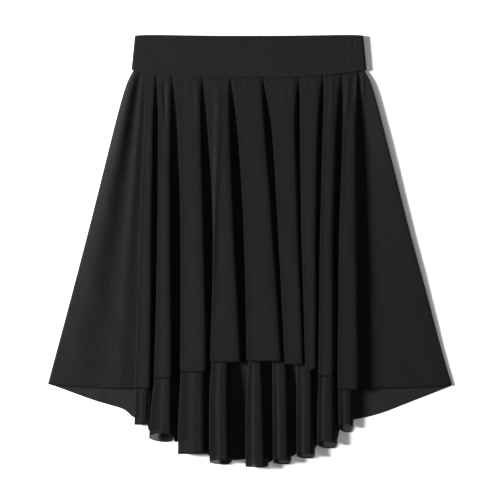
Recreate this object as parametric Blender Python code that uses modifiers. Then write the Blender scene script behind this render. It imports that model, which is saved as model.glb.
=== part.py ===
"""A flared ballet skirt, short in front and long behind, laid flat with its front up.

Two mesh panels hang in rounded folds from a wide knit waistband. X runs across the
skirt, Y from the hems up to the waist, and Z up from the table. The tables are in
millimetres. The origin is under the middle of the box round the skirt.
"""

from collections import namedtuple

import bpy
import numpy as np

MM = 0.001

# Walls and seams
MESH_WALL = 1.2
BAND_WALL = 1.6
SEAM_GAP = 0.4

# Waistband, flattened into two layers
BAND_MIDDLE_X = -1.4
BAND_HALF_TOP = 159.6
BAND_HALF_BOTTOM = 164.2
BAND_TOP_Y = 304.33
BAND_TOP_DIP = 3.0
BAND_CORNER_DROP = 1.6
BAND_CORNER_POWER = 12
BAND_LAYER_RISE = 3.8
BAND_COLUMNS = 8
BAND_ROWS = 4
BAND_TURN_STEPS = 6

# The seam under the band bows up from its middle to both sides
SEAM_MIDDLE_Y = 242.9
SEAM_RISE = 9.8
SEAM_HALF = 164.0
SEAM_POWER = 3.0

# How each fold is drawn in a section across the panel
SIDE_LEAN = 1.2
SIDE_SHARE = 0.66
SHOULDER_SHARE = 0.24

# Shares of the way from the waist seam to the hem where the tables below give sizes
FRONT_STATIONS = (0.0, 0.5, 1.0)
BACK_STATIONS = (0.0, 0.4, 0.8, 1.0)
FRONT_ROWS = (0.0, 0.12, 0.3, 0.55, 0.8, 1.0)
BACK_ROWS = (0.0, 0.12, 0.28, 0.46, 0.64, 0.8, 0.9, 1.0)

# Side edges, the same for both panels, at each of these shares of their length
EDGE_STATIONS = (0.0, 0.25, 0.5, 0.75, 1.0)
LEFT_EDGE_X = (-166.6, -197.9, -224.0, -254.1, -282.8)
RIGHT_EDGE_X = (163.0, 196.4, 222.8, 252.8, 282.8)

# A valley between two folds: the x of its middle, its width and its height at each
# station, and the y of its hem. A ridge: its height at each station and its hem.
# A flat: its share of the way from the side edge to the first valley, its height
# at each station and its hem. Heights are those of the middle of the wall.
Valley = namedtuple("Valley", "x width z hem")
Ridge = namedtuple("Ridge", "z hem")
Flat = namedtuple("Flat", "share z hem")

# Where the back panel lies on the table, and the front panel on the back panel
ON_TABLE = (0.6, 0.6, 0.6, 0.6)
ON_BACK = (2.2, 2.2, 2.2)

FRONT_LEFT = (
    Flat(0.00, ON_BACK, -186.2),
    Flat(0.22, (2.4, 2.2, 2.2), -191.6),
    Flat(0.44, (2.8, 2.2, 2.2), -192.6),
    Flat(0.66, (3.6, 4.4, 2.4), -193.0),
    Flat(0.80, (3.8, 4.6, 2.6), -193.2),
)
FRONT_VALLEYS = (
    Valley((-142.8, -158.9, -165.2), (3.0, 5.0, 5.0), (3.0, 2.6, 2.4), -193.2),
    Valley((-130.2, -132.6, -137.2), (3.0, 7.0, 4.0), (3.2, 2.4, 2.4), -186.0),
    Valley((-107.8, -102.5, -103.6), (3.0, 13.0, 9.0), (3.2, 2.4, 2.4), -173.6),
    Valley((-66.1, -57.4, -56.7), (3.0, 9.0, 5.0), (3.3, 3.4, 4.0), -162.0),
    Valley((-26.9, -16.4, -8.4), (3.0, 9.0, 6.0), (3.4, 3.0, 2.6), -154.4),
    Valley((18.5, 34.2, 47.6), (3.0, 6.0, 4.5), (3.4, 6.8, 8.6), -156.0),
    Valley((69.4, 68.5, 76.3), (3.0, 5.0, 4.0), (3.4, 6.8, 8.6), -161.6),
    Valley((102.9, 95.2, 94.5), (3.0, 5.0, 4.0), (3.3, 4.2, 4.8), -169.8),
    Valley((129.4, 121.5, 123.2), (3.0, 6.0, 4.0), (3.2, 3.4, 4.0), -184.0),
    Valley((156.8, 152.6, 155.4), (3.0, 6.0, 6.0), (2.6, 2.4, 2.2), -193.2),
)
FRONT_RIDGES = (
    Ridge((4.2, 7.2, 9.5), -191.8),
    Ridge((4.5, 9.0, 12.5), -177.8),
    Ridge((4.6, 9.6, 13.0), -168.6),
    Ridge((4.8, 10.6, 14.0), -154.7),
    Ridge((5.0, 11.2, 14.5), -153.4),
    Ridge((5.0, 10.8, 14.0), -157.8),
    Ridge((4.8, 10.2, 13.5), -165.2),
    Ridge((4.6, 9.6, 13.0), -174.3),
    Ridge((4.6, 8.8, 12.0), -193.2),
)
FRONT_RIGHT = (
    Flat(0.76, (2.4, 2.2, 2.2), -192.8),
    Flat(0.50, ON_BACK, -191.8),
    Flat(0.25, ON_BACK, -190.6),
    Flat(0.00, ON_BACK, -187.6),
)

BACK_LEFT = (
    Flat(0.00, ON_TABLE, -186.2),
    Flat(0.25, ON_TABLE, -196.4),
    Flat(0.50, ON_TABLE, -207.6),
    Flat(0.75, ON_TABLE, -216.6),
    Flat(0.92, ON_TABLE, -221.0),
)
BACK_VALLEYS = (
    Valley((-141.0, -153.9, -158.6, -163.9), (3.0, 8.0, 9.0, 6.0), ON_TABLE, -237.0),
    Valley((-130.2, -132.6, -136.4, -140.0), (3.0, 10.0, 9.0, 3.6), ON_TABLE, -256.0),
    Valley((-107.8, -102.5, -103.6, -102.9), (3.0, 16.5, 13.0, 8.0), ON_TABLE, -271.0),
    Valley((-66.1, -57.4, -56.7, -57.4), (3.0, 13.0, 10.0, 3.6), ON_TABLE, -291.0),
    Valley((-26.9, -18.6, -14.4, -16.1), (3.0, 16.0, 24.0, 20.0), ON_TABLE, -292.6),
    Valley((16.8, 21.0, 25.2, 28.7), (3.0, 10.0, 13.0, 7.0), ON_TABLE, -296.8),
    Valley((60.2, 56.0, 58.1, 61.6), (3.0, 10.0, 12.0, 7.0), ON_TABLE, -287.7),
    Valley((102.9, 94.8, 92.6, 92.4), (3.0, 11.0, 12.0, 4.6), ON_TABLE, -276.4),
    Valley((129.4, 121.5, 123.2, 123.2), (3.0, 10.0, 8.0, 3.6), ON_TABLE, -264.0),
    Valley((153.0, 148.0, 147.0, 146.3), (3.0, 6.0, 5.0, 4.0), ON_TABLE, -236.0),
)
BACK_RIDGES = (
    Ridge((1.2, 4.2, 6.2, 8.5), -243.4),
    Ridge((1.2, 5.2, 8.6, 11.0), -267.2),
    Ridge((1.2, 5.6, 9.2, 12.0), -283.0),
    Ridge((1.2, 5.4, 8.4, 12.5), -298.8),
    Ridge((1.2, 5.2, 8.2, 13.0), -302.8),
    Ridge((1.2, 4.4, 5.8, 12.0), -298.4),
    Ridge((1.2, 4.4, 5.8, 12.0), -290.0),
    Ridge((1.2, 5.4, 8.6, 12.0), -274.6),
    Ridge((1.2, 4.8, 7.8, 10.0), -253.4),
)
BACK_RIGHT = (
    Flat(0.75, ON_TABLE, -229.0),
    Flat(0.50, ON_TABLE, -214.8),
    Flat(0.25, ON_TABLE, -201.8),
    Flat(0.00, ON_TABLE, -187.6),
)


def seam_y(x):
    """The y of the waist seam: its middle plus a rise that grows with the distance from it."""
    return SEAM_MIDDLE_Y + SEAM_RISE * np.abs(x / SEAM_HALF) ** SEAM_POWER


def at(share, stations, values):
    """A table value at a share of the way down, straight between its stations."""
    return float(np.interp(share, stations, values))


def flat_points(flats, side_edge, valley, share, stations):
    """Section points of a flat beside the folds, between the side edge and the first valley."""
    edge = at(share, EDGE_STATIONS, side_edge)
    inner = at(share, stations, valley.x)
    for flat in flats:
        yield edge + flat.share * (inner - edge), at(share, stations, flat.z), flat.hem


def ridge_points(ridge, left, right, share, stations):
    """Section points of one fold: a steep side, two shoulders and a steep side."""
    foot_left = at(share, stations, left.x) + at(share, stations, left.width) / 2
    foot_right = at(share, stations, right.x) - at(share, stations, right.width) / 2
    floor_left = at(share, stations, left.z)
    floor_right = at(share, stations, right.z)
    top = at(share, stations, ridge.z)
    shoulder = SHOULDER_SHARE * (foot_right - foot_left)
    yield foot_left + SIDE_LEAN, floor_left + SIDE_SHARE * (top - floor_left), ridge.hem
    yield foot_left + shoulder, top, ridge.hem
    yield foot_right - shoulder, top, ridge.hem
    yield foot_right - SIDE_LEAN, floor_right + SIDE_SHARE * (top - floor_right), ridge.hem


def valley_points(valley, share, stations):
    """Section points of one valley: its left foot, its middle and its right foot."""
    middle = at(share, stations, valley.x)
    half = at(share, stations, valley.width) / 2
    floor = at(share, stations, valley.z)
    yield middle - half, floor, valley.hem
    yield middle, floor, valley.hem
    yield middle + half, floor, valley.hem


def section(lefts, valleys, ridges, rights, share, stations):
    """All points of a section across a panel, as (x, z, y of the hem under it)."""
    points = list(flat_points(lefts, LEFT_EDGE_X, valleys[0], share, stations))
    points += valley_points(valleys[0], share, stations)
    for ridge, left, right in zip(ridges, valleys[:-1], valleys[1:]):
        points += ridge_points(ridge, left, right, share, stations)
        points += valley_points(right, share, stations)
    points += flat_points(rights, RIGHT_EDGE_X, valleys[-1], share, stations)
    return np.array(points)


def panel_grid(lefts, valleys, ridges, rights, rows, stations):
    """The panel's control grid: one section a row, each column straight down to its hem."""
    tables = (lefts, valleys, ridges, rights)
    seam = seam_y(section(*tables, 0.0, stations)[:, 0]) - SEAM_GAP
    grid = []
    for share in rows:
        x, z, hem = section(*tables, share, stations).T
        grid.append(np.column_stack([x, seam + share * (hem - seam), z]))
    return np.array(grid)


def band_grid():
    """The waistband as rings down its height, each a flat loop with two rounded ends."""
    low = BAND_WALL / 2
    radius = BAND_LAYER_RISE / 2
    across = np.linspace(-1.0, 1.0, BAND_COLUMNS + 1)
    turn = np.linspace(-np.pi / 2, np.pi / 2, BAND_TURN_STEPS + 1)[1:-1]
    grid = []
    for share in np.linspace(0.0, 1.0, BAND_ROWS):
        half = BAND_HALF_TOP + share * (BAND_HALF_BOTTOM - BAND_HALF_TOP) - low - radius
        right_x = half + radius * np.cos(turn)
        x = np.concatenate([half * across, right_x, half * across[::-1], -right_x])
        flat_low = np.full(len(across), low)
        turn_z = low + radius * (1 + np.sin(turn))
        z = np.concatenate([flat_low, turn_z, flat_low + 2 * radius, turn_z[::-1]])
        near_end = np.abs(x / half) ** BAND_CORNER_POWER
        top = BAND_TOP_Y - BAND_TOP_DIP * (1 - (x / half) ** 2) - BAND_CORNER_DROP * near_end
        bottom = seam_y(BAND_MIDDLE_X + x)
        y = top + share * (bottom - top)
        grid.append(np.column_stack([BAND_MIDDLE_X + x, y, z]))
    return np.array(grid)


def sheet_object(name, grid, wall, material, collection, round_loop=False):
    """A cloth sheet: the grid's faces, smoothed by subdivision and given a wall by Solidify."""
    rows, columns = grid.shape[:2]
    centre = grid.reshape(-1, 3).mean(axis=0)
    last = columns if round_loop else columns - 1
    faces = [
        (
            row * columns + column,
            (row + 1) * columns + column,
            (row + 1) * columns + (column + 1) % columns,
            row * columns + (column + 1) % columns,
        )
        for row in range(rows - 1)
        for column in range(last)
    ]
    mesh = bpy.data.meshes.new(name)
    mesh.from_pydata(((grid.reshape(-1, 3) - centre) * MM).tolist(), [], faces)
    if round_loop:
        mesh.flip_normals()
    mesh.shade_smooth()
    mesh.materials.append(material)
    sheet = bpy.data.objects.new(name, mesh)
    sheet.location = centre * MM
    collection.objects.link(sheet)

    rounding = sheet.modifiers.new("rounding", "SUBSURF")
    rounding.levels = 1
    rounding.render_levels = 1
    rounding.boundary_smooth = "PRESERVE_CORNERS"
    thickness = sheet.modifiers.new("wall", "SOLIDIFY")
    thickness.thickness = wall * MM
    thickness.offset = 0.0
    return sheet


def cloth_material(name, colour, roughness):
    """A plain matte cloth."""
    material = bpy.data.materials.new(name)
    material.use_nodes = True
    shader = material.node_tree.nodes["Principled BSDF"]
    shader.inputs["Base Color"].default_value = (*colour, 1.0)
    shader.inputs["Roughness"].default_value = roughness
    shader.inputs["Sheen Weight"].default_value = 0.1
    return material


def clear_scene():
    for thing in list(bpy.data.objects):
        bpy.data.objects.remove(thing)


def main():
    clear_scene()
    collection = bpy.data.collections.new("ballet_skirt")
    bpy.context.scene.collection.children.link(collection)

    front_mesh = cloth_material("front_mesh", (0.018, 0.018, 0.021), 0.8)
    back_mesh = cloth_material("back_mesh", (0.016, 0.016, 0.019), 0.8)
    band_knit = cloth_material("band_knit", (0.014, 0.014, 0.017), 0.95)

    front = panel_grid(
        FRONT_LEFT, FRONT_VALLEYS, FRONT_RIDGES, FRONT_RIGHT, FRONT_ROWS, FRONT_STATIONS
    )
    back = panel_grid(BACK_LEFT, BACK_VALLEYS, BACK_RIDGES, BACK_RIGHT, BACK_ROWS, BACK_STATIONS)
    sheet_object("skirt_front", front, MESH_WALL, front_mesh, collection)
    sheet_object("skirt_back", back, MESH_WALL, back_mesh, collection)
    sheet_object("waistband", band_grid(), BAND_WALL, band_knit, collection, round_loop=True)


main()
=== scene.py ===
import bpy
import numpy as np
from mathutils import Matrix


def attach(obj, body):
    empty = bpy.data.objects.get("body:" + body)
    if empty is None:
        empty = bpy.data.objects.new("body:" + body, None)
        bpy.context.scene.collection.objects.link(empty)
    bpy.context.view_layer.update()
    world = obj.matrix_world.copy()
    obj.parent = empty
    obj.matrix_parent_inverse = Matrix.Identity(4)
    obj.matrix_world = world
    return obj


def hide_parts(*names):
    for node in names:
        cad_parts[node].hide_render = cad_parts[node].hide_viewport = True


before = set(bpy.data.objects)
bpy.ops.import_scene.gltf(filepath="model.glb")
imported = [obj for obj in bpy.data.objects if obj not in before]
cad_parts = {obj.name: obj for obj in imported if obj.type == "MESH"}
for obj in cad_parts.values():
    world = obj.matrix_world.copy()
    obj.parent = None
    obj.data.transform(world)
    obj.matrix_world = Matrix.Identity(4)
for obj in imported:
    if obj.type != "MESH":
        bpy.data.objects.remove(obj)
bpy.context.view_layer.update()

mm = 0.001
scene = bpy.context.scene
scene.view_settings.view_transform = "Standard"


# camera, lights and floor

studio = {
    "pixelSize": 1.4 * mm,          # what one pixel of the 500 pixel frame shows
    "cameraHeight": 3.0,
    "aimY": 1.4 * mm,
    "keyFrom": (-3.40, 0.40, 1.42),  # soft lamp, low, from the upper left
    "keySize": 0.9,
    "keyPower": 660.0,
    "fillFrom": (1.2, -1.4, 2.2),    # wide weak lamp from the other side
    "fillSize": 1.8,
    "fillPower": 3.0,
    "sky": 0.26,
    "floorHalf": 4.0,
    "floorColour": (0.92, 0.92, 0.92, 1.0),
    "floorRough": 0.9,
    "floorShine": 0.1,
    "framePixels": 500,
    "sensor": 36.0,                  # mm
    "farClip": 50.0,
}


def aimAt(thing, place, target):
    # puts a lamp at place and turns it so that it looks at target
    away = np.array(place, float) - np.array(target, float)
    flat = np.hypot(away[0], away[1])
    thing.location = place
    thing.rotation_euler = (np.arctan2(flat, away[2]), 0.0, np.arctan2(away[0], -away[1]))


def softLamp(name, place, size, power):
    lamp = bpy.data.lights.new(name, "AREA")
    lamp.shape = "DISK"
    lamp.size = size
    lamp.energy = power
    thing = bpy.data.objects.new(name, lamp)
    scene.collection.objects.link(thing)
    aimAt(thing, place, (0.0, 0.0, 0.0))


camera = bpy.data.objects.new("camera", bpy.data.cameras.new("camera"))
camera.data.sensor_width = studio["sensor"]
camera.data.lens = studio["sensor"] * studio["cameraHeight"] / (studio["framePixels"] * studio["pixelSize"])
camera.data.clip_end = studio["farClip"]
scene.collection.objects.link(camera)
camera.location = (0.0, studio["aimY"], studio["cameraHeight"])
scene.camera = camera
softLamp("keyLamp", studio["keyFrom"], studio["keySize"], studio["keyPower"])
softLamp("fillLamp", studio["fillFrom"], studio["fillSize"], studio["fillPower"])

world = bpy.data.worlds.new("studioSky")
world.use_nodes = True
world.node_tree.nodes["Background"].inputs["Color"].default_value = (1.0, 1.0, 1.0, 1.0)
world.node_tree.nodes["Background"].inputs["Strength"].default_value = studio["sky"]
scene.world = world

floorMesh = bpy.data.meshes.new("floor")
half = studio["floorHalf"]
floorMesh.from_pydata([(-half, -half, 0), (half, -half, 0), (half, half, 0), (-half, half, 0)], [], [(0, 1, 2, 3)])
floor = bpy.data.objects.new("floor", floorMesh)
scene.collection.objects.link(floor)
floorPaint = bpy.data.materials.new("whiteTable")
floorPaint.use_nodes = True
floorShader = floorPaint.node_tree.nodes["Principled BSDF"]
floorShader.inputs["Base Color"].default_value = studio["floorColour"]
floorShader.inputs["Roughness"].default_value = studio["floorRough"]
floorShader.inputs["Specular IOR Level"].default_value = studio["floorShine"]
floorMesh.materials.append(floorPaint)
print("studio ready")


# shared cloth tools

def splineWeights(count, spots):
    # weights that read a cubic B-spline of `count` points at the given spots (0 to count - 1);
    # each end is held by a mirrored point, so the curve starts and ends on its own points
    whole = np.clip(np.floor(spots).astype(int), 0, count - 2)
    t = (spots - whole)[:, None]
    second = 3 * t ** 3 - 6 * t ** 2 + 4
    third = -3 * t ** 3 + 3 * t ** 2 + 3 * t + 1
    basis = np.hstack([(1 - t) ** 3, second, third, t ** 3]) / 6
    held = np.zeros((count + 2, count))
    held[1:-1] = np.eye(count)
    held[0, :2] = (2, -1)
    held[-1, -2:] = (-1, 2)
    weights = np.zeros((len(spots), count + 2))
    np.put_along_axis(weights, whole[:, None] + np.arange(4), basis, axis=1)
    return weights @ held


def easeIn(low, high, value):
    # 0 below low, 1 above high, and a smooth S between them
    t = np.clip((value - low) / (high - low), 0.0, 1.0)
    return t * t * (3 - 2 * t)


waistSeam = {"middleY": 242.9, "rise": 9.8, "halfWidth": 164.0}


def seamY(x):
    # the waist seam: a middle height plus a rise that grows as the cube of the distance out
    return waistSeam["middleY"] + waistSeam["rise"] * np.abs(x / waistSeam["halfWidth"]) ** 3


def softNoise(x, y, seed, size):
    # a smooth wander: eight crossing sine waves of about the given size, each with its own turn and phase
    lots = np.random.default_rng(seed)
    turn = lots.uniform(0, np.pi, 8)
    wave = 2 * np.pi / (size * lots.uniform(0.7, 1.6, 8))
    phase = lots.uniform(0, 2 * np.pi, 8)
    along = x[..., None] * np.cos(turn) + y[..., None] * np.sin(turn)
    return np.sin(along * wave + phase).mean(axis=-1) * 2


foldForm = {
    "leanOfHeight": 0.30, "leanOfWidth": 0.16,    # an open fold leans over by the smaller of these shares
    "leanLost": 0.8, "leanFades": (0.75, 1.0),    # how much of the lean goes, and over which rows
    "steepenOver": (0.45, 0.95),
    "floorLean": 0.4, "floorShare": 0.12,         # where the floor layer's first point lies, open and in a pipe
    "floorShort": 2.0, "mouthDeep": 3.0,          # how far layers stop short of the hem above them
    "turnOut": 0.2, "turnRise": 0.15, "turnLift": 0.8, "turnSlack": 0.12,
    "footOut": 1.3, "footShare": 0.25,            # how far a crown's right foot runs on into the valley
    # points from the turn to the crown. Columns: share of an open fold's lean, share of the way from left foot
    # to neck in a pipe, shift in a pipe, share of the height when open, share of the height in a pipe, lift in
    # a pipe, share of the slack that its hem hangs short
    "lowerPoints": ((0.9, 0.74, 0.0, 0.25, 0.0, 1.4, -0.02), (0.6, 0.28, 0.0, 0.45, 0.0, 1.8, 0.02),
                    (0.1, 0.0, 0.4, 0.70, 0.34, 0.0, 0.36)),
}


def foldGrid(cloth):
    # control points of a folded panel, one row a section: side flat, then valley and fold in turn, side flat.
    # An open fold leans over its left foot like a small wave. "tuck" draws its neck to the right under the crown,
    # which closes it into a pipe: floor layer, neck, turn, return layer, left edge, crown, right foot.
    # The y of a point is its row's share of the way from the waist seam to the point's own hem
    form = foldForm
    rows = np.array(cloth["rows"])[:, None]
    count = len(cloth["stations"])
    mix = np.array([np.interp(rows[:, 0], cloth["stations"], unit) for unit in np.eye(count)]).T
    valleys, folds = cloth["valleys"], cloth["folds"]
    vx, vw, vz = [mix @ valleys[:, part * count:(part + 1) * count].T for part in range(3)]
    vHem = np.broadcast_to(valleys[:, -1], vx.shape)
    top = mix @ folds[:, :count].T
    crest, hem, lens, tuck = np.broadcast_to(folds[:, count:].T[:, None, :], (4,) + top.shape)
    steep = cloth["steepen"] * easeIn(*form["steepenOver"], rows)      # right slopes steepen towards the hem
    crest = 1 - (1 - crest) * (1 - steep)
    t = tuck * easeIn(*cloth["tuckFrom"], rows)
    loose = 1 - t
    lens = lens * t
    left, right = vx[:, :-1] + vw[:, :-1] / 2, vx[:, 1:] - vw[:, 1:] / 2
    wide, low, lowRight = right - left, vz[:, :-1], vz[:, 1:]
    high = top - low
    under = np.minimum(form["leanOfHeight"] * high, form["leanOfWidth"] * wide)
    under = under * (1 - form["leanLost"] * easeIn(*form["leanFades"], rows))
    neck = left + under + t * (cloth["neckShare"] * wide - under)
    mouthHem = t * (hem + lens + form["mouthDeep"]) + loose * vHem[:, :-1]
    shortHem = np.maximum(vHem[:, :-1] + form["floorShort"] * t, mouthHem)
    fold = [
        (left + loose * form["floorLean"] * under + t * form["floorShare"] * wide, low, shortHem),
        (neck, low, shortHem),
        (neck + t * form["turnOut"], low + loose * form["turnRise"] * high + t * form["turnLift"],
         hem + form["turnSlack"] * lens),
    ]
    for lean, inPipe, shift, rise, pipeRise, lift, slack in form["lowerPoints"]:
        fold.append((left + loose * lean * under + t * (inPipe * (neck - left) + shift),
                     low + (loose * rise + t * pipeRise) * high + t * lift, hem + slack * lens))
    for beforeCrest, afterCrest, shift, share, slack in cloth["crown"]:
        base = low + (lowRight - low) * afterCrest
        fold.append((left + beforeCrest * crest * wide + afterCrest * (1 - crest) * wide + shift,
                     base + share * (top - base), hem + slack * lens))
    foot = hem + t * (vHem[:, 1:] - hem)
    fold.append((right, lowRight, foot))
    fold.append((right + np.minimum(form["footOut"], form["footShare"] * vw[:, 1:]), lowRight, foot))
    valley = np.array([(vx, vz, vHem)])
    repeats = np.concatenate([valley[..., :-1], np.array(fold)])
    strips = [part.transpose(2, 3, 0, 1).reshape(len(rows), -1, 3) for part in (repeats, valley[..., -1:])]
    sides = []
    for name, edge in (("left", 0), ("right", -1)):
        flat = cloth[name + "Flat"]
        edgeX = np.interp(rows[:, 0], cloth["edgeAt"], cloth[name + "Edge"])[:, None]
        x = edgeX + flat[:, 0] * (vx[:, edge][:, None] - edgeX)
        sides.append(np.stack([x, mix @ flat[:, 1:1 + count].T, np.broadcast_to(flat[:, -1], x.shape)], axis=-1))
    grid = np.concatenate([sides[0], *strips, sides[1]], axis=1)
    seam = seamY(grid[:1, :, 0]) + cloth["seamTuck"]
    y = seam + rows * (grid[..., 2] - seam)
    return np.stack([grid[..., 0], y, grid[..., 1]], axis=-1)


def fineGrid(control, across, down):
    # the smooth cloth: the B-spline surface of the control points, `across` steps a column and `down` a row
    rows, columns = control.shape[:2]
    rowSpots = np.linspace(0, rows - 1, (rows - 1) * down + 1)
    columnSpots = np.linspace(0, columns - 1, (columns - 1) * across + 1)
    return np.einsum("ra,abk,cb->rck", splineWeights(rows, rowSpots), control, splineWeights(columns, columnSpots))


def pressCreases(points, creases):
    # adds troughs and ridges in z: each runs straight from (x0, y0) to (x1, y1), is bell-shaped across
    # with its own width, starts softly, and dies away to its lower end
    x0, y0, x1, y1, width, height = creases.T
    x, y = points[..., 0, None], points[..., 1, None]
    t = (y0 - y) / (y0 - y1)
    line = x0 + (x1 - x0) * t
    strength = easeIn(0.0, 0.12, t) * (1 - easeIn(0.35, 1.0, t))
    points[..., 2] += (height * strength * np.exp(-((x - line) / width) ** 2)).sum(axis=-1)
    return points


def meshPiece(name, points, closedAcross=False, closedDown=False):
    # one mesh from a grid of points in mm, with a UV map in metres along the cloth
    rows, columns = points.shape[:2]
    index = np.arange(rows * columns).reshape(rows, columns)
    if closedAcross:
        index = np.concatenate([index, index[:, :1]], axis=1)
    if closedDown:
        index = np.concatenate([index, index[:1]], axis=0)
    faces = np.stack([index[:-1, :-1], index[1:, :-1], index[1:, 1:], index[:-1, 1:]], axis=-1).reshape(-1, 4)
    mesh = bpy.data.meshes.new(name)
    mesh.vertices.add(rows * columns)
    mesh.vertices.foreach_set("co", (points * mm).astype(np.float32).ravel())
    mesh.loops.add(faces.size)
    mesh.loops.foreach_set("vertex_index", faces.astype(np.int32).ravel())
    mesh.polygons.add(len(faces))
    mesh.polygons.foreach_set("loop_start", np.arange(0, faces.size, 4, dtype=np.int32))
    mesh.update(calc_edges=True)
    mesh.validate()
    afterLast = points[:, :1] if closedAcross else points[:, -1:]
    belowLast = points[:1] if closedDown else points[-1:]
    acrossStep = np.linalg.norm(np.diff(points, axis=1, append=afterLast), axis=-1)
    downStep = np.linalg.norm(np.diff(points, axis=0, append=belowLast), axis=-1)
    u = np.concatenate([np.zeros((rows, 1)), np.cumsum(acrossStep, axis=1)], axis=1)
    u -= u[:, columns // 2][:, None]
    v = np.concatenate([np.zeros((1, columns)), -np.cumsum(downStep, axis=0)], axis=0)
    r, c = np.divmod(np.arange(index[:-1, :-1].size), index.shape[1] - 1)
    corners = [(r, c), (r + 1, c), (r + 1, c + 1), (r, c + 1)]
    cornerU = np.stack([u[np.minimum(a, rows - 1), b] for a, b in corners], axis=-1)
    cornerV = np.stack([v[a, np.minimum(b, columns - 1)] for a, b in corners], axis=-1)
    uv = mesh.uv_layers.new(name="cloth")
    uv.data.foreach_set("uv", (np.stack([cornerU, cornerV], axis=-1) * mm).astype(np.float32).ravel())
    mesh.polygons.foreach_set("use_smooth", np.ones(len(faces), dtype=bool))
    thing = bpy.data.objects.new(name, mesh)
    scene.collection.objects.link(thing)
    return thing


def giveWall(thing, thickness):
    # half of the cloth's thickness to each side of the sheet
    wall = thing.modifiers.new("wall", "SOLIDIFY")
    wall.thickness = thickness * mm
    wall.offset = 0.0


# materials

def addNode(tree, kind, values, **settings):
    # a new node with its settings and the values of its inputs
    node = tree.nodes.new("ShaderNode" + kind)
    for name, value in settings.items():
        setattr(node, name, value)
    for name, value in values.items():
        node.inputs[name].default_value = value
    return node


def clothFinish(tree, pattern, grain, look):
    # colour runs from dark to light with the pattern, which is also a fine bump; roughness wanders with the grain
    shader = tree.nodes["Principled BSDF"]
    tone = addNode(tree, "ValToRGB", {})
    for stop, position, colour in zip(tone.color_ramp.elements, look["ramp"], (look["dark"], look["light"])):
        stop.position = position
        stop.color = (*colour, 1.0)
    rough = addNode(tree, "MapRange", {"To Min": look["rough"] - look["roughSpread"],
                                       "To Max": look["rough"] + look["roughSpread"]})
    bump = addNode(tree, "Bump", {"Strength": look["bump"], "Distance": look["bumpDepth"]})
    tree.links.new(pattern, tone.inputs["Fac"])
    tree.links.new(pattern, bump.inputs["Height"])
    tree.links.new(grain, rough.inputs["Value"])
    tree.links.new(tone.outputs["Color"], shader.inputs["Base Color"])
    tree.links.new(rough.outputs["Result"], shader.inputs["Roughness"])
    tree.links.new(bump.outputs["Normal"], shader.inputs["Normal"])
    shader.inputs["Alpha"].default_value = look["alpha"]
    shader.inputs["Sheen Weight"].default_value = look["sheen"]
    shader.inputs["Sheen Roughness"].default_value = look["sheenRough"]
    shader.inputs["Specular IOR Level"].default_value = look["shine"]


def netCloth(name, look):
    # fine warp-knit net: two slanted sets of threads cross into diamonds, over a soft uneven tone
    material = bpy.data.materials.new(name)
    material.use_nodes = True
    tree = material.node_tree
    uv = addNode(tree, "UVMap", {}, uv_map="cloth")
    net = addNode(tree, "Math", {}, operation="MAXIMUM")
    for spot, slant in enumerate((look["slant"], -look["slant"])):
        turn = addNode(tree, "Mapping", {"Rotation": (0.0, 0.0, slant)})
        threads = addNode(tree, "TexWave", {"Scale": look["waveScale"], "Distortion": look["wander"],
                                            "Detail": look["waveDetail"]})
        tree.links.new(uv.outputs["UV"], turn.inputs["Vector"])
        tree.links.new(turn.outputs["Vector"], threads.inputs["Vector"])
        tree.links.new(threads.outputs["Fac"], net.inputs[spot])
    stretch = addNode(tree, "Mapping", {"Scale": look["grainStretch"]})
    grain = addNode(tree, "TexNoise", {"Scale": look["grainScale"], "Detail": look["grainDetail"]})
    tree.links.new(uv.outputs["UV"], stretch.inputs["Vector"])
    tree.links.new(stretch.outputs["Vector"], grain.inputs["Vector"])
    both = addNode(tree, "Math", {1: look["netShare"]}, operation="MULTIPLY_ADD")
    tree.links.new(net.outputs["Value"], both.inputs[0])
    tree.links.new(grain.outputs["Fac"], both.inputs[2])
    clothFinish(tree, both.outputs["Value"], grain.outputs["Fac"], look)
    return material


netLook = {
    "slant": np.radians(34), "waveScale": 250.0, "waveDetail": 1.0, "wander": 0.6, "netShare": 0.35,
    "grainScale": 420.0, "grainDetail": 3.0, "grainStretch": (0.5, 1.0, 1.0), "ramp": (0.50, 1.00),
    "dark": (0.0026, 0.0026, 0.0035), "light": (0.0080, 0.0080, 0.0104),
    "rough": 0.75, "roughSpread": 0.06, "bump": 0.35, "bumpDepth": 0.0003,
    "alpha": 0.75, "sheen": 0.02, "sheenRough": 0.4, "shine": 0.12,
}
looseLook = dict(netLook, alpha=0.36)     # one loose layer at the mouth of a fold: more shows through


# front panel

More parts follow.
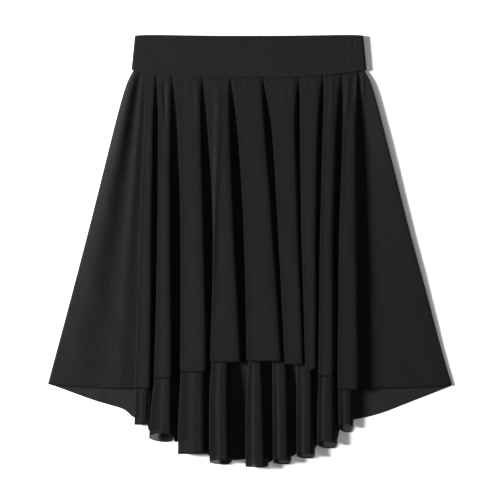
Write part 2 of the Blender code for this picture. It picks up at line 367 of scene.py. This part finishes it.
frontCloth = {
    "wall": 0.5,
    "seamTuck": 2.4,                      # how far the top edge goes up inside the band
    "stations": (0.0, 0.04, 0.16, 0.5, 1.0),    # shares of the way from seam to hem for the tables below
    "rows": (0.0, 0.006, 0.035, 0.09, 0.18, 0.34, 0.55, 0.78, 0.92, 1.0),
    "across": 3, "down": 10,
    "tuckFrom": (2.0, 3.0), "neckShare": 0.5,   # past the hem, so that the front's folds stay open
    "steepen": 0.40,
    "sway": 0.5, "swell": 0.18, "wanderFrom": (250.0, 150.0), "wanderSeed": 11,
    # points of the crown: share of the way to the crest, share of the way on to the right foot, shift,
    # share of the height, share of the slack that its hem hangs short
    "crown": ((0, 0, -0.05, 0.975, 0), (0, 0, 0.0, 1.0, 0), (0, 0, 0.4, 1.0, 0), (0, 0, 4.5, 0.955, 0),
              (0.55, 0, 0, 0.99, 0), (1, 0, 0, 1.0, 0), (1, 0.55, 0, 0.84, 0), (1, 0.92, 0, 0.42, 0)),
    "edgeAt": (0.0, 0.006, 0.03, 0.094, 0.221, 0.412, 0.667, 0.922, 1.0),
    "leftEdge": (-162.6, -163.0, -170.4, -179.4, -194.6, -214.2, -243.6, -273.6, -282.8),
    "rightEdge": (159.4, 160.0, 167.6, 176.2, 190.6, 211.4, 241.6, 272.0, 282.8),
    # valleys: x at each station, width at each station, height at each station, y of the hem
    "valleys": np.array([
        [-146.0, -147.0, -149.5, -158.0, -164.4, 3.0, 3.0, 5.0, 8.5, 8.0, 2.8, 2.8, 2.0, 1.7, 1.7, -193.2],
        [-130.4, -130.4, -130.4, -131.6, -135.4, 3.0, 3.0, 6.0, 6.4, 3.6, 2.8, 2.8, 1.9, 1.7, 1.7, -186.0],
        [-107.6, -107.0, -103.6, -101.6, -101.8, 3.0, 3.0, 8.0, 11.0, 9.0, 2.8, 2.8, 1.9, 1.7, 1.7, -173.6],
        [-65.6, -65.0, -62.6, -55.6, -57.6, 3.0, 3.0, 7.5, 12.0, 4.0, 2.8, 3.0, 2.6, 2.8, 3.4, -162.0],
        [-26.4, -25.6, -21.4, -13.8, -7.4, 3.0, 3.0, 8.0, 12.0, 6.0, 2.8, 3.0, 2.4, 2.4, 2.2, -154.4],
        [19.0, 20.0, 26.6, 36.6, 47.4, 3.0, 3.0, 8.5, 5.5, 3.5, 2.8, 3.0, 2.8, 6.2, 8.0, -156.0],
        [69.2, 69.0, 67.4, 70.4, 76.6, 3.0, 3.0, 5.0, 3.2, 3.0, 2.8, 3.0, 3.2, 6.2, 8.0, -161.6],
        [103.0, 102.6, 99.6, 96.6, 94.6, 3.0, 3.0, 5.0, 4.0, 3.0, 2.8, 3.0, 2.8, 3.6, 4.4, -169.8],
        [129.6, 129.0, 127.2, 122.6, 121.4, 3.0, 3.0, 6.0, 4.4, 3.6, 2.8, 2.8, 2.4, 3.0, 3.6, -184.0],
        [152.0, 152.6, 153.6, 158.4, 159.0, 3.0, 3.0, 6.0, 9.0, 8.0, 2.6, 2.6, 2.0, 1.7, 1.6, -193.2],
    ]),
    # folds: height at each station, where the crest ends as a share of the width, y of the hem, lens, tuck
    "folds": np.array([
        [3.0, 4.6, 6.4, 8.0, 9.5, 0.72, -191.8, 0, 0],
        [3.0, 4.8, 7.2, 10.5, 12.5, 0.66, -177.8, 0, 0],
        [3.0, 5.0, 8.4, 12.0, 13.0, 0.86, -168.6, 0, 0],
        [3.0, 5.2, 9.0, 13.0, 14.0, 0.82, -154.7, 0, 0],
        [3.0, 5.2, 9.4, 13.4, 14.5, 0.88, -153.4, 0, 0],
        [3.0, 5.2, 9.2, 13.0, 14.0, 0.86, -157.8, 0, 0],
        [3.0, 5.2, 9.0, 12.5, 13.5, 0.82, -165.2, 0, 0],
        [3.0, 5.0, 8.8, 12.2, 13.0, 0.66, -174.3, 0, 0],
        [3.0, 5.0, 8.6, 11.8, 12.0, 0.72, -193.2, 0, 0],
    ]),
    # side flats: share of the way in from the edge, height at each station, y of the hem
    "leftFlat": np.array([
        [0.00, 2.6, 1.6, 1.4, 1.3, 1.1, -186.2],
        [0.08, 2.8, 3.0, 3.3, 2.8, 1.6, -187.4],
        [0.17, 2.8, 4.2, 5.0, 4.2, 2.1, -188.6],
        [0.27, 2.8, 5.0, 6.2, 5.2, 2.4, -189.8],
        [0.39, 2.8, 4.8, 5.8, 4.8, 2.3, -190.8],
        [0.52, 2.8, 3.2, 3.4, 2.8, 2.0, -191.6],
        [0.64, 2.8, 2.5, 2.0, 1.9, 1.9, -192.4],
        [0.74, 2.8, 2.7, 2.3, 2.3, 2.1, -192.6],
        [0.84, 2.8, 3.1, 3.2, 3.5, 2.8, -192.8],
        [0.92, 2.8, 2.9, 2.6, 2.5, 2.2, -193.0],
    ]),
    "rightFlat": np.array([
        [0.88, 2.8, 2.8, 2.0, 1.7, 1.6, -193.0],
        [0.70, 2.8, 2.8, 2.3, 1.8, 1.6, -192.6],
        [0.45, 2.8, 3.4, 3.2, 2.8, 1.8, -191.6],
        [0.18, 2.8, 4.0, 4.2, 3.8, 2.1, -190.0],
        [0.05, 2.8, 4.2, 4.5, 4.1, 2.2, -188.4],
        [0.00, 2.6, 3.9, 4.1, 3.8, 2.0, -187.6],
    ]),
    # small creases: x and y of the upper end, x and y of the lower end, width, height
    "creases": np.array([
        [-120.0, 240, -117.5, 150, 2.2, -0.9],
        [-93.0, 242, -92.0, 190, 1.8, -0.5],
        [-88.0, 242, -86.0, 205, 1.6, 0.4],
        [-81.5, 242, -80.0, 200, 1.7, -0.5],
        [-74.0, 242, -71.0, 170, 2.0, 0.5],
        [-43.5, 242, -53.0, -120, 2.6, 1.3],
        [-37.0, 242, -36.5, 205, 1.6, -0.4],
        [-12.0, 242, -11.0, 196, 1.8, -0.4],
        [-5.0, 242, -4.0, 205, 1.7, 0.35],
        [4.5, 242, 6.0, 195, 1.8, -0.4],
        [11.5, 242, 14.0, 205, 1.6, 0.35],
        [31.0, 242, 33.0, 200, 1.7, 0.35],
        [39.5, 242, 42.0, 190, 1.9, -0.45],
        [53.0, 243, 54.5, 195, 1.8, -0.45],
        [60.0, 243, 59.5, 205, 1.6, 0.4],
        [84.0, 244, 83.0, 200, 1.7, -0.35],
        [93.0, 245, 91.0, 190, 1.8, 0.35],
        [114.5, 247, 111.5, 150, 2.0, 0.5],
        [137.0, 249, 133.0, 160, 2.2, 0.7],
        [144.5, 250, 141.0, 185, 1.8, -0.6],
        [150.0, 251, 148.5, 170, 1.9, 0.8],
        [157.5, 251, 159.0, 190, 1.8, 0.8],
    ]),
}


def wanderFree(points, cloth):
    # moves x by the sway and z by the swell, each times a soft wander and an S that grows from the seam downwards
    x, y = points[..., 0], points[..., 1]
    down = easeIn(*cloth["wanderFrom"], y)
    points[..., 0] += cloth["sway"] * down * softNoise(x * 0.35, y, cloth["wanderSeed"], 150.0)
    points[..., 2] += cloth["swell"] * down * softNoise(x, y * 0.5, cloth["wanderSeed"] + 1, 34.0)
    return points


frontPoints = fineGrid(foldGrid(frontCloth), frontCloth["across"], frontCloth["down"])
frontPoints = wanderFree(pressCreases(frontPoints, frontCloth["creases"]), frontCloth)
front = meshPiece("front_panel", frontPoints)
giveWall(front, frontCloth["wall"])
front.data.materials.append(netCloth("frontNet", netLook))
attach(front, "root")
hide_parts("skirt_front")
print("front panel", frontPoints.shape)


# back panel

backCloth = {
    "wall": 0.5,
    "seamTuck": 2.4,
    "stations": (0.0, 0.04, 0.16, 0.4, 0.73, 0.80, 0.88, 1.0),
    "rows": (0.0, 0.006, 0.035, 0.12, 0.28, 0.46, 0.62, 0.72, 0.78, 0.84, 0.91, 0.955, 0.98, 1.0),
    "across": 3, "down": 6,
    "tuckFrom": (0.45, 0.70), "neckShare": 0.99, "steepen": 0.0,
    "crown": ((0, 0, -0.1, 0.96, 0.55), (0, 0, 0.0, 1.0, 0.70), (0, 0, 0.5, 1.0, 0.86),
              (0.60, 0, 0, 0.915, 1.03), (0.86, 0, 0, 0.94, 1.03), (1, 0, 0, 0.975, 1.0),
              (1, 0.32, 0, 0.94, 0.95), (1, 0.70, 0, 0.92, 0.84), (1, 0.90, 0, 0.64, 0.66),
              (1, 0.99, 0, 0.28, 0.45)),
    "looseFolds": (4, 5, 6, 7, 8),        # mouths in a neighbour's shade, where one layer lets light through
    "floorGap": 0.02,
    "edgeAt": frontCloth["edgeAt"],
    "leftEdge": frontCloth["leftEdge"],
    "rightEdge": frontCloth["rightEdge"],
    "valleys": np.array([
        [-141, -141.4, -145, -154, -160.3, -161.9, -163.6, -164.4,
         3, 3, 8, 12, 11.4, 9.4, 8, 6,
         2.15, 0.5, 0.3, 0.3, 0.3, 0.3, 0.3, 0.3, -234],
        [-130.2, -130.4, -130, -130.1, -133.55, -134.5, -138.2, -141.6,
         3, 3, 8, 12.4, 10.7, 9.8, 3.6, 2,
         2.15, 0.5, 0.3, 0.3, 0.3, 0.3, 0.3, 0.3, -252],
        [-107.8, -107.5, -102.4, -100.1, -100.8, -102.3, -103.2, -103.2,
         3, 3, 12.8, 17, 14.4, 11.4, 7.6, 5.6,
         2.15, 0.5, 0.3, 0.3, 0.3, 0.3, 0.3, 0.3, -267.4],
        [-66.1, -65.4, -61, -54.1, -56.7, -58.4, -58.3, -57.5,
         3, 3, 12, 18, 9, 4, 3.4, 2.6,
         2.15, 0.5, 0.3, 0.3, 0.3, 0.3, 0.3, 0.3, -286],
        [-26.9, -26.2, -20, -12.75, -14.1, -16.4, -16.4, -15.8,
         3, 3, 14, 22.5, 27, 23.2, 20.8, 19.6,
         2.15, 0.5, 0.3, 0.3, 0.3, 0.3, 0.3, 0.3, -292.6],
        [16.8, 17.2, 19.5, 21.5, 24.75, 26.5, 27.5, 29,
         3, 3, 7, 11, 13.5, 11, 9, 6.8,
         2.15, 0.5, 0.3, 0.3, 0.3, 0.3, 0.3, 0.3, -295.4],
        [60.2, 59.8, 58, 56, 58.6, 60.2, 60.7, 61.5,
         3, 3, 6, 10, 13.2, 10.4, 9.4, 7.8,
         2.15, 0.5, 0.3, 0.3, 0.3, 0.3, 0.3, 0.3, -287],
        [102.9, 102.2, 100, 98.1, 94.15, 93.1, 92, 92.4,
         3, 3, 6, 10, 11.3, 8.6, 4, 3.6,
         2.15, 0.5, 0.3, 0.3, 0.3, 0.3, 0.3, 0.3, -275],
        [129.4, 128.7, 126.5, 124.1, 123.05, 122.6, 122.1, 123.2,
         3, 3, 7, 10.4, 9.1, 6.8, 2.6, 2.4,
         2.15, 0.5, 0.3, 0.3, 0.3, 0.3, 0.3, 0.3, -262],
        [151, 151.6, 150, 148, 147, 146.9, 146.7, 146.3,
         3, 3, 6, 6, 5, 4.8, 4.6, 4,
         2.15, 0.5, 0.3, 0.3, 0.3, 0.3, 0.3, 0.3, -236],
    ]),
    "folds": np.array([
        [2.15, 1, 1.1, 4, 6, 7, 8.3, 8.5, 0.5, -243.4, 1.5, 0.8],
        [2.15, 1, 1.1, 4.6, 8.8, 10.2, 12, 12.5, 0.55, -267.2, 12.6, 1],
        [2.15, 1, 1.1, 5, 10.2, 12, 13, 13.5, 0.51, -283.4, 0, 1],
        [2.15, 1, 1.1, 5, 9, 14.5, 15.8, 15.5, 0.45, -298.8, 7.5, 1],
        [2.15, 1, 1.1, 4.8, 8.2, 12.6, 15, 15, 0.4, -302.8, 3.2, 1],
        [2.15, 1, 1.1, 3.6, 4.6, 8.6, 14, 14.5, 0.36, -298.4, 7.4, 1],
        [2.15, 1, 1.1, 3.6, 4.4, 7.8, 13.5, 14, 0.4, -290, 7.4, 1],
        [2.15, 1, 1.1, 5, 8.6, 10.8, 12.5, 13, 0.33, -276, 10.5, 1],
        [2.15, 1, 1.1, 4.6, 8, 9.2, 10.5, 10.5, 0.45, -253.4, 12, 1],
    ]),
    "leftFlat": np.array([
        [0, 2.2, 1, 0.8, 0.6, 0.6, 0.6, 0.7, 0.8, -186.2],
        [0.1, 2.15, 0.5, 0.3, 0.3, 0.3, 0.3, 0.4, 0.4, -190],
        [0.25, 2.15, 0.5, 0.3, 0.3, 0.3, 0.3, 0.3, 0.3, -196.4],
        [0.5, 2.15, 0.5, 0.3, 0.3, 0.3, 0.3, 0.3, 0.3, -207.6],
        [0.75, 2.15, 0.5, 0.3, 0.3, 0.3, 0.3, 0.3, 0.3, -216.6],
        [0.92, 2.15, 0.5, 0.3, 0.3, 0.3, 0.3, 0.3, 0.3, -221],
    ]),
    "rightFlat": np.array([
        [0.75, 2.15, 0.5, 0.3, 0.3, 0.3, 0.3, 0.3, 0.3, -229],
        [0.5, 2.15, 0.6, 0.3, 0.3, 0.3, 0.3, 0.3, 0.3, -214.8],
        [0.25, 2.15, 1, 1, 0.8, 0.6, 0.5, 0.4, 0.3, -201.8],
        [0.1, 2.15, 2, 2, 1.8, 1.2, 1, 0.8, 0.6, -193.4],
        [0, 2.2, 2.6, 2.8, 2.6, 1.6, 1.4, 1.2, 1, -187.6],
    ]),
    "creases": np.array([
        [-214.0, -150, -214.5, -290, 5.0, 1.6],
        [-205.0, -150, -205.0, -290, 3.0, -0.2],
    ]),
}


def looseFaces(points, cloth):
    # 1 for each face of a pipe's return layer that sticks out below the crown's hem, all but the last row of
    # faces, and 0 elsewhere
    middle = (points[:-1, :-1, 1] + points[1:, 1:, 1]) / 2
    marks = np.zeros(middle.shape, dtype=np.int32)
    count = len(cloth["stations"])
    step = 6 + len(foldForm["lowerPoints"]) + len(cloth["crown"])      # control points from valley to valley
    turnAt, returnSpans = 3, 2
    for number in cloth["looseFolds"]:
        hem, lens = cloth["folds"][number, count + 1:count + 3]
        start = (len(cloth["leftFlat"]) + number * step + turnAt) * cloth["across"]
        stop = start + returnSpans * cloth["across"]
        marks[:-1, start:stop] = middle[:-1, start:stop] < hem + lens + foldForm["mouthDeep"]
    return marks.ravel()


backPoints = fineGrid(foldGrid(backCloth), backCloth["across"], backCloth["down"])
backPoints = pressCreases(backPoints, backCloth["creases"])
backPoints[..., 2] = np.maximum(backPoints[..., 2], backCloth["wall"] / 2 + backCloth["floorGap"])
back = meshPiece("back_panel", backPoints)
giveWall(back, backCloth["wall"])
back.data.materials.append(netCloth("backNet", netLook))
back.data.materials.append(netCloth("looseNet", looseLook))
back.data.polygons.foreach_set("material_index", looseFaces(backPoints, backCloth))
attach(back, "root")
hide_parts("skirt_back")
print("back panel", backPoints.shape)


# waistband

waistBand = {
    "wall": 1.7,
    "middleX": -1.4, "halfTop": 159.9, "halfBottom": 164.4,
    "topY": 303.2, "topDip": 2.2, "dipHalf": 165.0, "cornerDrop": 1.8, "cornerPower": 14,
    "layerRise": 3.6, "lowZ": 0.9, "overSeam": 0.2,
    "flatSteps": 150, "turnSteps": 10, "heightSteps": 36, "rimSteps": 6,
    "seamX": 145.5, "seamLean": 0.02, "leanFromY": 270.0, "seamDeep": 0.5, "seamWide": 1.1,
    "puffOut": 3.0, "puffWide": 2.6, "puffHigh": 0.12,
    "swell": 0.12, "swellSize": 40.0, "swellSeed": 5,
}


def bandPoints(band):
    # a rounded wall profile (up the outside, over the top, down the inside, round the bottom)
    # carried once around a flattened loop of two straight runs and two half-circle turns
    radius = band["layerRise"] / 2
    across = np.linspace(-1, 1, band["flatSteps"])
    turn = np.linspace(-np.pi / 2, np.pi / 2, band["turnSteps"] + 2)[1:-1]
    runX = np.concatenate([across, np.ones_like(turn), across[::-1], -np.ones_like(turn)])
    capX = np.concatenate([0 * across, np.cos(turn), 0 * across, -np.cos(turn)])
    outZ = np.concatenate([-np.ones_like(across), np.sin(turn), np.ones_like(across), np.sin(turn[::-1])])
    rim = np.linspace(0, np.pi, band["rimSteps"] + 2)[1:-1]
    half = band["wall"] / 2
    rise = np.linspace(0, 1, band["heightSteps"])
    offset = np.concatenate([half + 0 * rise, half * np.cos(rim), -half + 0 * rise, -half * np.cos(rim)])
    share = np.concatenate([rise, 1 + 0 * rim, rise[::-1], 0 * rim])
    extra = np.concatenate([0 * rise, half * np.sin(rim), 0 * rise, -half * np.sin(rim)])
    widthHalf = band["halfBottom"] + share * (band["halfTop"] - band["halfBottom"]) - radius - half
    x = widthHalf[:, None] * runX + (radius + offset[:, None]) * capX
    z = band["lowZ"] + radius + (radius + offset[:, None]) * outZ
    end = np.abs(x / (widthHalf[:, None] + radius)) ** band["cornerPower"]
    top = band["topY"] - half - band["topDip"] * (1 - (x / band["dipHalf"]) ** 2) - band["cornerDrop"] * end
    bottom = seamY(x + band["middleX"]) + half + band["overSeam"]
    y = bottom + share[:, None] * (top - bottom) + extra[:, None]
    # the joining seam, which lies on the front: a bell-shaped groove with a soft ridge on either side, and a swell
    onTop = (outZ > 0.5) * np.ones_like(x)
    outside = (offset[:, None] > 0) * onTop
    fromSeam = x - band["seamX"]
    groove = np.exp(-((fromSeam - band["seamLean"] * (y - band["leanFromY"])) / band["seamWide"]) ** 2)
    puff = sum(np.exp(-((fromSeam + side) / band["puffWide"]) ** 2) for side in (band["puffOut"], -band["puffOut"]))
    z = z + outside * (-band["seamDeep"] * groove + band["puffHigh"] * puff)
    z = z + onTop * band["swell"] * softNoise(x, y, band["swellSeed"], band["swellSize"])
    return np.stack([x + band["middleX"], y, z], axis=-1)


def doubleKnit(name, look):
    # matte double knit: fine upright wales crossed by faint courses, over a soft uneven tone
    material = bpy.data.materials.new(name)
    material.use_nodes = True
    tree = material.node_tree
    uv = addNode(tree, "UVMap", {}, uv_map="cloth")
    wales = addNode(tree, "TexWave", {"Scale": look["waleScale"], "Distortion": look["wander"],
                                      "Detail": look["waleDetail"]}, bands_direction="X")
    courses = addNode(tree, "TexWave", {"Scale": look["courseScale"], "Distortion": look["wander"]},
                      bands_direction="Y")
    grain = addNode(tree, "TexNoise", {"Scale": look["grainScale"], "Detail": look["grainDetail"]})
    for node in (wales, courses, grain):
        tree.links.new(uv.outputs["UV"], node.inputs["Vector"])
    knit = addNode(tree, "Math", {1: look["courseShare"]}, operation="MULTIPLY_ADD")
    tree.links.new(courses.outputs["Fac"], knit.inputs[0])
    tree.links.new(wales.outputs["Fac"], knit.inputs[2])
    both = addNode(tree, "Math", {1: look["knitShare"]}, operation="MULTIPLY_ADD")
    tree.links.new(knit.outputs["Value"], both.inputs[0])
    tree.links.new(grain.outputs["Fac"], both.inputs[2])
    clothFinish(tree, both.outputs["Value"], grain.outputs["Fac"], look)
    return material


knitLook = {
    "waleScale": 300.0, "waleDetail": 1.0, "courseScale": 300.0, "courseShare": 0.5, "wander": 0.8,
    "grainScale": 380.0, "grainDetail": 4.0, "knitShare": 0.3, "ramp": (0.30, 0.95),
    "dark": (0.0034, 0.0034, 0.0044), "light": (0.0072, 0.0072, 0.0088),
    "rough": 0.85, "roughSpread": 0.05, "bump": 0.3, "bumpDepth": 0.0003,
    "alpha": 1.0, "sheen": 0.01, "sheenRough": 0.5, "shine": 0.08,
}

band = meshPiece("waist_band", bandPoints(waistBand), closedAcross=True, closedDown=True)
band.data.materials.append(doubleKnit("bandKnit", knitLook))
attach(band, "root")
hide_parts("waistband")
print("waistband ready")
